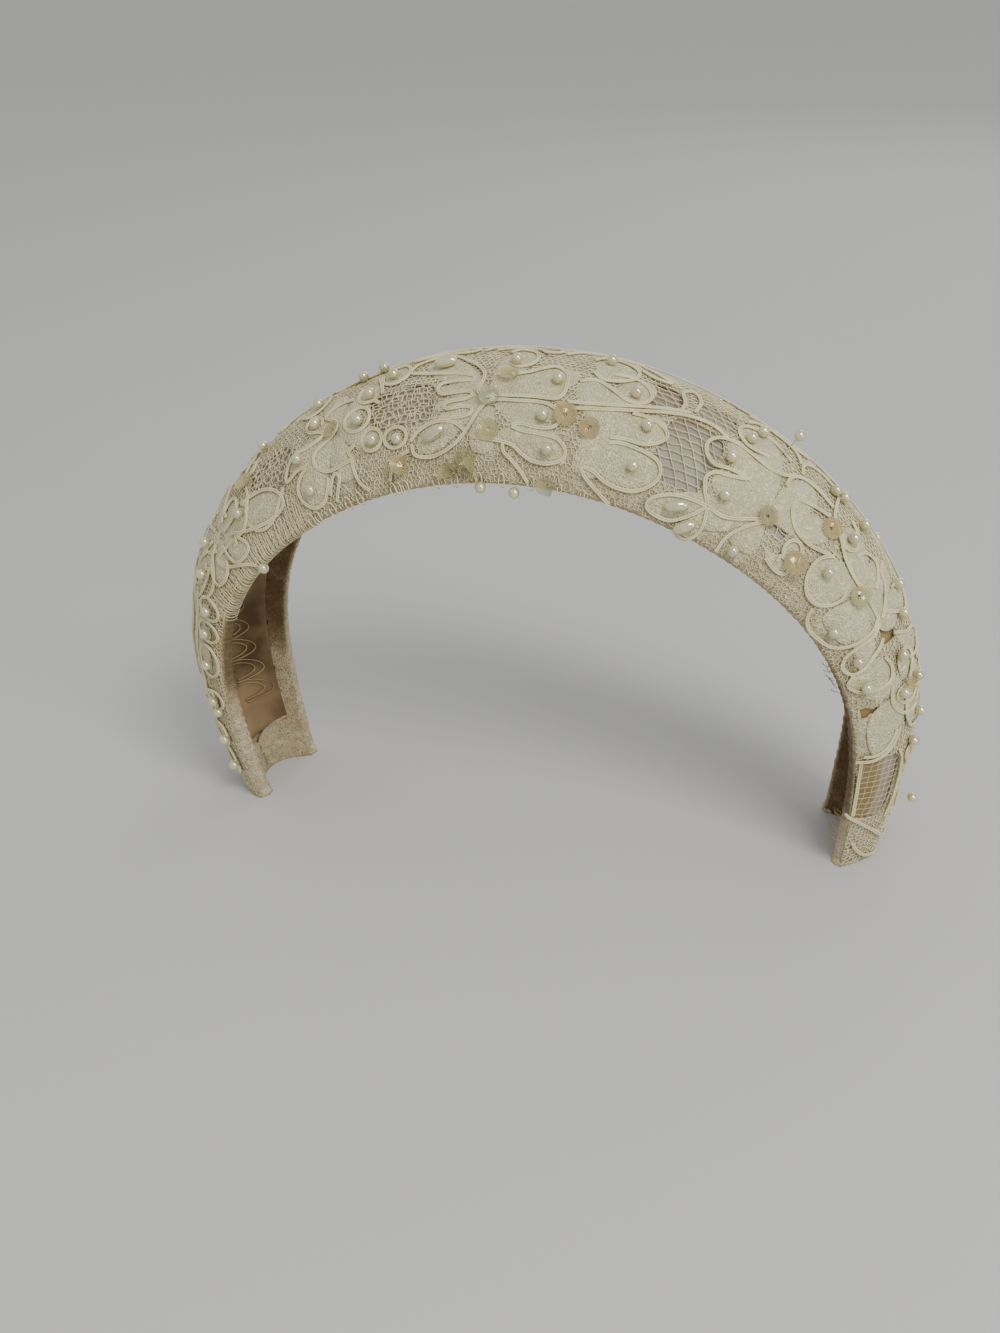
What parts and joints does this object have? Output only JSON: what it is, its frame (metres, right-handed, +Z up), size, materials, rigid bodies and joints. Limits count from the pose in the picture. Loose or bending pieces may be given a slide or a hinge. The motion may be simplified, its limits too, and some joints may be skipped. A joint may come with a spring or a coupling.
{
  "type": "bridal headband",
  "caption": "wide domed bridal headband in satin under corded lace, with pearls and sequins sewn on its flowers",
  "frame": {"origin": "on the floor below the middle of the bounding box, the headband standing on its two flat ends", "axes": "+X to the wearer's left end, +Y from the front edge to the rear edge, +Z up to the crown"},
  "size_m": [0.185, 0.0524, 0.1266],
  "materials": {
    "ivory_lace": "corded lace and net",
    "aged_satin": "satin, aged",
    "brown_lining": "matte woven lining",
    "pearl": "imitation pearl",
    "sequin": "iridescent"
  },
  "bodies": {
    "root": {"lace_cover": "ivory_lace", "satin_band": "aged_satin", "lining": "brown_lining", "flower_crown": "ivory_lace", "flower_crown_left": "ivory_lace", "flower_crown_right": "ivory_lace", "flower_shoulder_left": "ivory_lace", "flower_shoulder_right": "ivory_lace", "flower_side_left": "ivory_lace", "flower_side_right": "ivory_lace", "flower_ear_left": "ivory_lace", "flower_ear_right": "ivory_lace", "flower_rear_left": "ivory_lace", "flower_rear_middle": "ivory_lace", "flower_rear_right": "ivory_lace", "pearl_01": "pearl", "pearl_02": "pearl", "pearl_03": "pearl", "pearl_04": "pearl", "pearl_05": "pearl", "pearl_06": "pearl", "pearl_07": "pearl", "pearl_08": "pearl", "pearl_09": "pearl", "pearl_10": "pearl", "pearl_11": "pearl", "pearl_12": "pearl", "pearl_13": "pearl", "pearl_14": "pearl", "pearl_15": "pearl", "pearl_16": "pearl", "pearl_17": "pearl", "pearl_18": "pearl", "pearl_19": "pearl", "pearl_20": "pearl", "pearl_21": "pearl", "pearl_22": "pearl", "pearl_23": "pearl", "pearl_24": "pearl", "pearl_25": "pearl", "pearl_26": "pearl", "pearl_27": "pearl", "pearl_28": "pearl", "pearl_29": "pearl", "pearl_30": "pearl", "pearl_31": "pearl", "pearl_32": "pearl", "pearl_33": "pearl", "pearl_34": "pearl", "pearl_35": "pearl", "oat_pearl_1": "pearl", "oat_pearl_2": "pearl", "oat_pearl_3": "pearl", "oat_pearl_4": "pearl", "sequin_crown": "sequin", "sequin_crown_left": "sequin", "sequin_crown_right": "sequin", "sequin_shoulder_right": "sequin", "sequin_side_right": "sequin", "sequin_ear_right": "sequin"}
  },
  "joints": []
}
